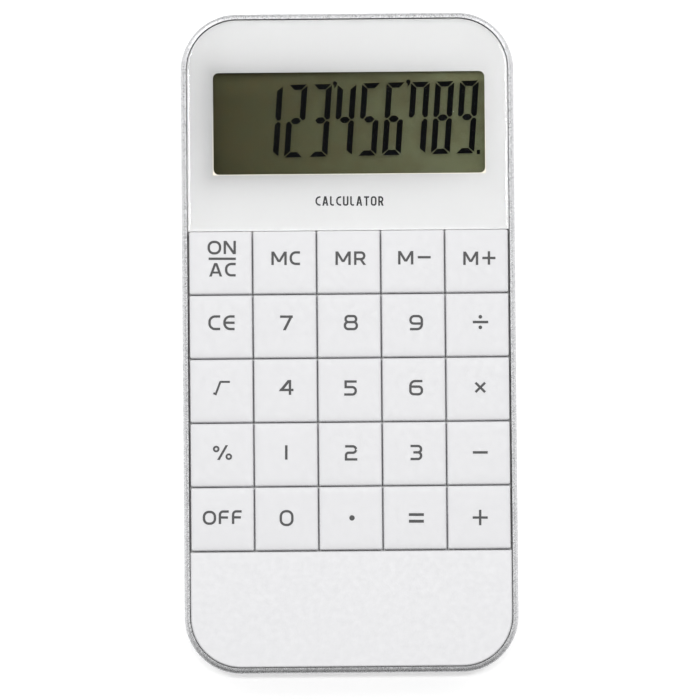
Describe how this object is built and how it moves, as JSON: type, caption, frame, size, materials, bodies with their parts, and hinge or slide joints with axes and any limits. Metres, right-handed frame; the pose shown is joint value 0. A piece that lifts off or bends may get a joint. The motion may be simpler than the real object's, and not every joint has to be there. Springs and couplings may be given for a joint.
{
  "type": "pocket calculator",
  "caption": "Slim pocket calculator with a silver bezel, clear display panel, tiled grid of travelling keys, and a coin-slot battery cap on the flat back.",
  "frame": {"origin": "middle of the case outline on the flat rear face", "axes": "+X across the keypad to the right of someone reading the display, +Y from the keypad towards the display end, +Z out of the keys; it lies on its rear face at z = 0"},
  "size_m": [0.059, 0.1168, 0.009],
  "materials": {
    "silver_paint": "moulded plastic sprayed with fine-flake metallic silver",
    "white_shell": "glossy white moulded plastic, fine texture on the rear",
    "dark_plastic": "dark grey moulded plastic, matt",
    "light_plastic": "white moulded plastic, matt",
    "clear_acrylic": "clear polished acrylic",
    "white_film": "opaque white printed film",
    "white_panel": "glossy white plastic",
    "tape": "double-sided adhesive film",
    "polariser": "grey-green polarising film",
    "lcd_glass": "thin float glass",
    "lcd_reflector": "grey-green reflective film",
    "foam": "dark closed-cell foam",
    "zebra_rubber": "pink silicone with dark conductive layers",
    "silicone": "translucent grey silicone",
    "carbon_rubber": "black conductive rubber",
    "board_green": "glass-epoxy board with green solder mask",
    "epoxy_black": "black epoxy",
    "ceramic_chip": "ceramic chip parts with tinned ends",
    "screw_steel": "nickel-plated steel",
    "cell_steel": "nickel-plated steel can",
    "contact_spring": "nickel-plated spring strip",
    "key_white": "glossy white moulded plastic, dark grey legends"
  },
  "bodies": {
    "root": {"bezel_frame": "silver_paint", "rear_cover": "white_shell", "front_chassis": "light_plastic", "display_lens": "clear_acrylic", "lens_mask": "white_film", "lower_panel": "white_panel", "lower_panel_tape": "tape", "lcd_front_polariser": "polariser", "lcd_upper_glass": "lcd_glass", "lcd_lower_glass": "lcd_glass", "lcd_reflector": "lcd_reflector", "lcd_holder": "dark_plastic", "lcd_foam_pad": "foam", "zebra_strip": "zebra_rubber", "keypad_mat": "silicone", "contact_pills": "carbon_rubber", "circuit_board": "board_green", "chip_blob": "epoxy_black", "surface_mount_parts": "ceramic_chip", "board_screws": "screw_steel", "case_screws": "screw_steel", "button_cell": "cell_steel", "battery_contact_positive": "contact_spring", "battery_contact_negative": "contact_spring"},
    "battery_cap": {"battery_cap": "white_shell"},
    "key_on_ac": {"key_on_ac": "key_white"},
    "key_mc": {"key_mc": "key_white"},
    "key_mr": {"key_mr": "key_white"},
    "key_m_minus": {"key_m_minus": "key_white"},
    "key_m_plus": {"key_m_plus": "key_white"},
    "key_ce": {"key_ce": "key_white"},
    "key_7": {"key_7": "key_white"},
    "key_8": {"key_8": "key_white"},
    "key_9": {"key_9": "key_white"},
    "key_divide": {"key_divide": "key_white"},
    "key_sqrt": {"key_sqrt": "key_white"},
    "key_4": {"key_4": "key_white"},
    "key_5": {"key_5": "key_white"},
    "key_6": {"key_6": "key_white"},
    "key_multiply": {"key_multiply": "key_white"},
    "key_percent": {"key_percent": "key_white"},
    "key_1": {"key_1": "key_white"},
    "key_2": {"key_2": "key_white"},
    "key_3": {"key_3": "key_white"},
    "key_minus": {"key_minus": "key_white"},
    "key_off": {"key_off": "key_white"},
    "key_0": {"key_0": "key_white"},
    "key_point": {"key_point": "key_white"},
    "key_equals": {"key_equals": "key_white"},
    "key_plus": {"key_plus": "key_white"}
  },
  "joints": [
    {"name": "key_on_ac_press", "type": "slide", "parent": "root", "child": "key_on_ac", "axis": [0, 0, 1], "range_m": [-0.0008, 0], "stiffness_N_per_m": 800, "deforming": ["keypad_mat", "contact_pills"]},
    {"name": "key_mc_press", "type": "slide", "parent": "root", "child": "key_mc", "axis": [0, 0, 1], "range_m": [-0.0008, 0], "stiffness_N_per_m": 800, "deforming": ["keypad_mat", "contact_pills"]},
    {"name": "key_mr_press", "type": "slide", "parent": "root", "child": "key_mr", "axis": [0, 0, 1], "range_m": [-0.0008, 0], "stiffness_N_per_m": 800, "deforming": ["keypad_mat", "contact_pills"]},
    {"name": "key_m_minus_press", "type": "slide", "parent": "root", "child": "key_m_minus", "axis": [0, 0, 1], "range_m": [-0.0008, 0], "stiffness_N_per_m": 800, "deforming": ["keypad_mat", "contact_pills"]},
    {"name": "key_m_plus_press", "type": "slide", "parent": "root", "child": "key_m_plus", "axis": [0, 0, 1], "range_m": [-0.0008, 0], "stiffness_N_per_m": 800, "deforming": ["keypad_mat", "contact_pills"]},
    {"name": "key_ce_press", "type": "slide", "parent": "root", "child": "key_ce", "axis": [0, 0, 1], "range_m": [-0.0008, 0], "stiffness_N_per_m": 800, "deforming": ["keypad_mat", "contact_pills"]},
    {"name": "key_7_press", "type": "slide", "parent": "root", "child": "key_7", "axis": [0, 0, 1], "range_m": [-0.0008, 0], "stiffness_N_per_m": 800, "deforming": ["keypad_mat", "contact_pills"]},
    {"name": "key_8_press", "type": "slide", "parent": "root", "child": "key_8", "axis": [0, 0, 1], "range_m": [-0.0008, 0], "stiffness_N_per_m": 800, "deforming": ["keypad_mat", "contact_pills"]},
    {"name": "key_9_press", "type": "slide", "parent": "root", "child": "key_9", "axis": [0, 0, 1], "range_m": [-0.0008, 0], "stiffness_N_per_m": 800, "deforming": ["keypad_mat", "contact_pills"]},
    {"name": "key_divide_press", "type": "slide", "parent": "root", "child": "key_divide", "axis": [0, 0, 1], "range_m": [-0.0008, 0], "stiffness_N_per_m": 800, "deforming": ["keypad_mat", "contact_pills"]},
    {"name": "key_sqrt_press", "type": "slide", "parent": "root", "child": "key_sqrt", "axis": [0, 0, 1], "range_m": [-0.0008, 0], "stiffness_N_per_m": 800, "deforming": ["keypad_mat", "contact_pills"]},
    {"name": "key_4_press", "type": "slide", "parent": "root", "child": "key_4", "axis": [0, 0, 1], "range_m": [-0.0008, 0], "stiffness_N_per_m": 800, "deforming": ["keypad_mat", "contact_pills"]},
    {"name": "key_5_press", "type": "slide", "parent": "root", "child": "key_5", "axis": [0, 0, 1], "range_m": [-0.0008, 0], "stiffness_N_per_m": 800, "deforming": ["keypad_mat", "contact_pills"]},
    {"name": "key_6_press", "type": "slide", "parent": "root", "child": "key_6", "axis": [0, 0, 1], "range_m": [-0.0008, 0], "stiffness_N_per_m": 800, "deforming": ["keypad_mat", "contact_pills"]},
    {"name": "key_multiply_press", "type": "slide", "parent": "root", "child": "key_multiply", "axis": [0, 0, 1], "range_m": [-0.0008, 0], "stiffness_N_per_m": 800, "deforming": ["keypad_mat", "contact_pills"]},
    {"name": "key_percent_press", "type": "slide", "parent": "root", "child": "key_percent", "axis": [0, 0, 1], "range_m": [-0.0008, 0], "stiffness_N_per_m": 800, "deforming": ["keypad_mat", "contact_pills"]},
    {"name": "key_1_press", "type": "slide", "parent": "root", "child": "key_1", "axis": [0, 0, 1], "range_m": [-0.0008, 0], "stiffness_N_per_m": 800, "deforming": ["keypad_mat", "contact_pills"]},
    {"name": "key_2_press", "type": "slide", "parent": "root", "child": "key_2", "axis": [0, 0, 1], "range_m": [-0.0008, 0], "stiffness_N_per_m": 800, "deforming": ["keypad_mat", "contact_pills"]},
    {"name": "key_3_press", "type": "slide", "parent": "root", "child": "key_3", "axis": [0, 0, 1], "range_m": [-0.0008, 0], "stiffness_N_per_m": 800, "deforming": ["keypad_mat", "contact_pills"]},
    {"name": "key_minus_press", "type": "slide", "parent": "root", "child": "key_minus", "axis": [0, 0, 1], "range_m": [-0.0008, 0], "stiffness_N_per_m": 800, "deforming": ["keypad_mat", "contact_pills"]},
    {"name": "key_off_press", "type": "slide", "parent": "root", "child": "key_off", "axis": [0, 0, 1], "range_m": [-0.0008, 0], "stiffness_N_per_m": 800, "deforming": ["keypad_mat", "contact_pills"]},
    {"name": "key_0_press", "type": "slide", "parent": "root", "child": "key_0", "axis": [0, 0, 1], "range_m": [-0.0008, 0], "stiffness_N_per_m": 800, "deforming": ["keypad_mat", "contact_pills"]},
    {"name": "key_point_press", "type": "slide", "parent": "root", "child": "key_point", "axis": [0, 0, 1], "range_m": [-0.0008, 0], "stiffness_N_per_m": 800, "deforming": ["keypad_mat", "contact_pills"]},
    {"name": "key_equals_press", "type": "slide", "parent": "root", "child": "key_equals", "axis": [0, 0, 1], "range_m": [-0.0008, 0], "stiffness_N_per_m": 800, "deforming": ["keypad_mat", "contact_pills"]},
    {"name": "key_plus_press", "type": "slide", "parent": "root", "child": "key_plus", "axis": [0, 0, 1], "range_m": [-0.0008, 0], "stiffness_N_per_m": 800, "deforming": ["keypad_mat", "contact_pills"]},
    {"name": "battery_cap_turn", "type": "hinge", "parent": "root", "child": "battery_cap", "pos_m": [0, -0.047, 0], "axis": [0, 0, -1], "range_deg": [0, 60]}
  ]
}
